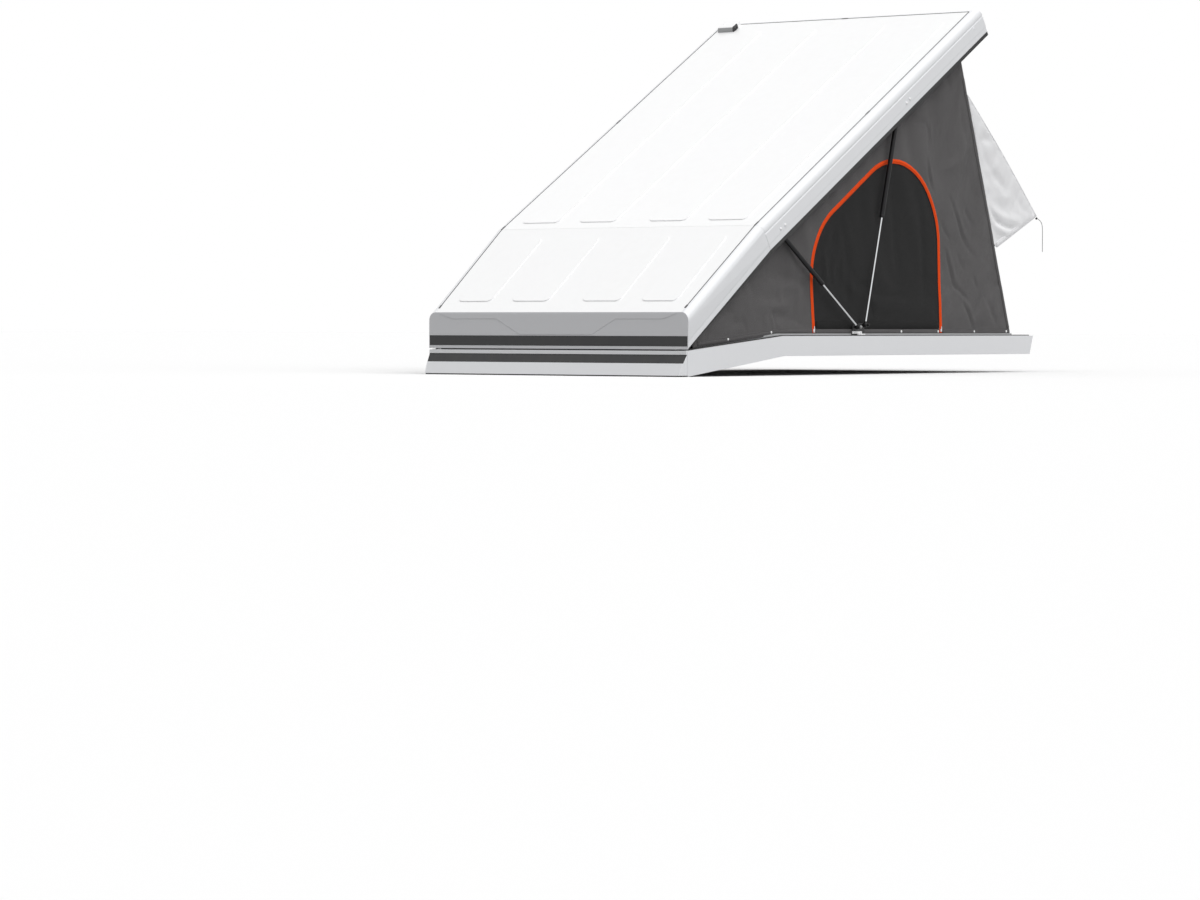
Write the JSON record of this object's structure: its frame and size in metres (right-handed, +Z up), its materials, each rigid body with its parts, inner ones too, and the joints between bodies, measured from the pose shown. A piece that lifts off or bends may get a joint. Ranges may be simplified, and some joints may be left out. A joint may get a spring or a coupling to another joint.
{
  "type": "pop top roof",
  "caption": "Front-hinged metal pop top roof on a base ring, shown open on gas struts, with a wedge-shaped canvas tent, arched mesh windows and a rear hood.",
  "frame": {"origin": "centre of the bounding box on the floor that the base ring rests on, lid open", "axes": "-Y to the front of the roof, +X to its own left side, +Z up"},
  "size_m": [1.53, 2.9935, 1.7395],
  "materials": {
    "lid_white": "satin white powder coat",
    "body_grey": "satin light grey powder coat",
    "band_black": "matt black",
    "rubber": "matt",
    "bare_aluminium": "mill finish",
    "zinc_steel": "zinc plated",
    "chrome_rod": "hard chrome",
    "tube_black": "gloss black",
    "plastic_black": "moulded",
    "canvas": "coated tent canvas",
    "window_mesh": "insect mesh",
    "zip_orange": "zip tape",
    "hood_cloth": "coated light cloth",
    "cord": "braided cord"
  },
  "bodies": {
    "base": {"base_side_left": "body_grey", "base_side_right": "body_grey", "base_rear_wall": "body_grey", "front_fascia": "body_grey", "fascia_band": "band_black", "windscreen_seal": "rubber", "front_deck": "body_grey", "base_gasket": "rubber", "canvas_clamp": "bare_aluminium", "strut_foot_left": "zinc_steel", "strut_foot_right": "zinc_steel", "hinge_base_leaf": "zinc_steel", "canvas_left": "canvas", "canvas_right": "canvas", "canvas_rear": "canvas", "window_left": "window_mesh", "window_right": "window_mesh", "window_rear": "window_mesh", "window_zips": "zip_orange", "rear_hood": "hood_cloth", "hood_frame": "bare_aluminium", "guy_cord": "cord", "cord_toggle": "plastic_black"},
    "lid": {"lid_top_main": "lid_white", "lid_top_front": "lid_white", "side_rail_left": "body_grey", "side_rail_right": "body_grey", "front_cheek_left": "body_grey", "front_cheek_right": "body_grey", "rear_rail": "body_grey", "nose_plate": "body_grey", "nose_band": "band_black", "lid_seal": "rubber", "cable_entry": "plastic_black", "strut_head_plates": "zinc_steel", "hinge_lid_leaf": "zinc_steel"},
    "rod_front_left": {"strut_rod_front_left": "chrome_rod"},
    "tube_front_left": {"strut_tube_front_left": "tube_black"},
    "rod_front_right": {"strut_rod_front_right": "chrome_rod"},
    "tube_front_right": {"strut_tube_front_right": "tube_black"},
    "rod_rear_left": {"strut_rod_rear_left": "chrome_rod"},
    "tube_rear_left": {"strut_tube_rear_left": "tube_black"},
    "rod_rear_right": {"strut_rod_rear_right": "chrome_rod"},
    "tube_rear_right": {"strut_tube_rear_right": "tube_black"}
  },
  "joints": [
    {"name": "lid_hinge", "type": "hinge", "parent": "base", "child": "lid", "pos_m": [0, -1.4115, 0.117], "axis": [-1, 0, 0], "range_deg": [0, 31.1], "deforming": ["canvas_left", "canvas_right", "canvas_rear", "window_left", "window_right", "window_rear", "window_zips", "rear_hood", "hood_frame", "guy_cord", "cord_toggle"]},
    {"name": "front_left_swing", "type": "hinge", "parent": "base", "child": "rod_front_left", "pos_m": [0.74, -0.1215, 0.218], "axis": [1, 0, 0], "range_deg": [0, 30.3]},
    {"name": "front_left_stroke", "type": "slide", "parent": "rod_front_left", "child": "tube_front_left", "axis": [0, 0.8258, -0.564], "range_m": [0, 0.3257]},
    {"name": "front_right_swing", "type": "hinge", "parent": "base", "child": "rod_front_right", "pos_m": [-0.74, -0.1215, 0.218], "axis": [1, 0, 0], "range_deg": [0, 30.3]},
    {"name": "front_right_stroke", "type": "slide", "parent": "rod_front_right", "child": "tube_front_right", "axis": [0, 0.8258, -0.564], "range_m": [0, 0.3257]},
    {"name": "rear_left_swing", "type": "hinge", "parent": "base", "child": "rod_rear_left", "pos_m": [0.74, -0.0615, 0.227], "axis": [-1, 0, 0], "range_deg": [0, 72.1]},
    {"name": "rear_left_stroke", "type": "slide", "parent": "rod_rear_left", "child": "tube_rear_left", "axis": [0, -0.2587, -0.966], "range_m": [0, 0.4388]},
    {"name": "rear_right_swing", "type": "hinge", "parent": "base", "child": "rod_rear_right", "pos_m": [-0.74, -0.0615, 0.227], "axis": [-1, 0, 0], "range_deg": [0, 72.1]},
    {"name": "rear_right_stroke", "type": "slide", "parent": "rod_rear_right", "child": "tube_rear_right", "axis": [0, -0.2587, -0.966], "range_m": [0, 0.4388]}
  ],
  "couplings": [
    {"joint": "front_left_swing", "follows": "lid_hinge", "ratio": 0.96809},
    {"joint": "front_left_stroke", "follows": "lid_hinge", "m_per_rad": 0.59825},
    {"joint": "front_right_swing", "follows": "lid_hinge", "ratio": 0.96809},
    {"joint": "front_right_stroke", "follows": "lid_hinge", "m_per_rad": 0.59825},
    {"joint": "rear_left_swing", "follows": "lid_hinge", "ratio": 2.3112},
    {"joint": "rear_left_stroke", "follows": "lid_hinge", "m_per_rad": 0.80661},
    {"joint": "rear_right_swing", "follows": "lid_hinge", "ratio": 2.3112},
    {"joint": "rear_right_stroke", "follows": "lid_hinge", "m_per_rad": 0.80661}
  ]
}
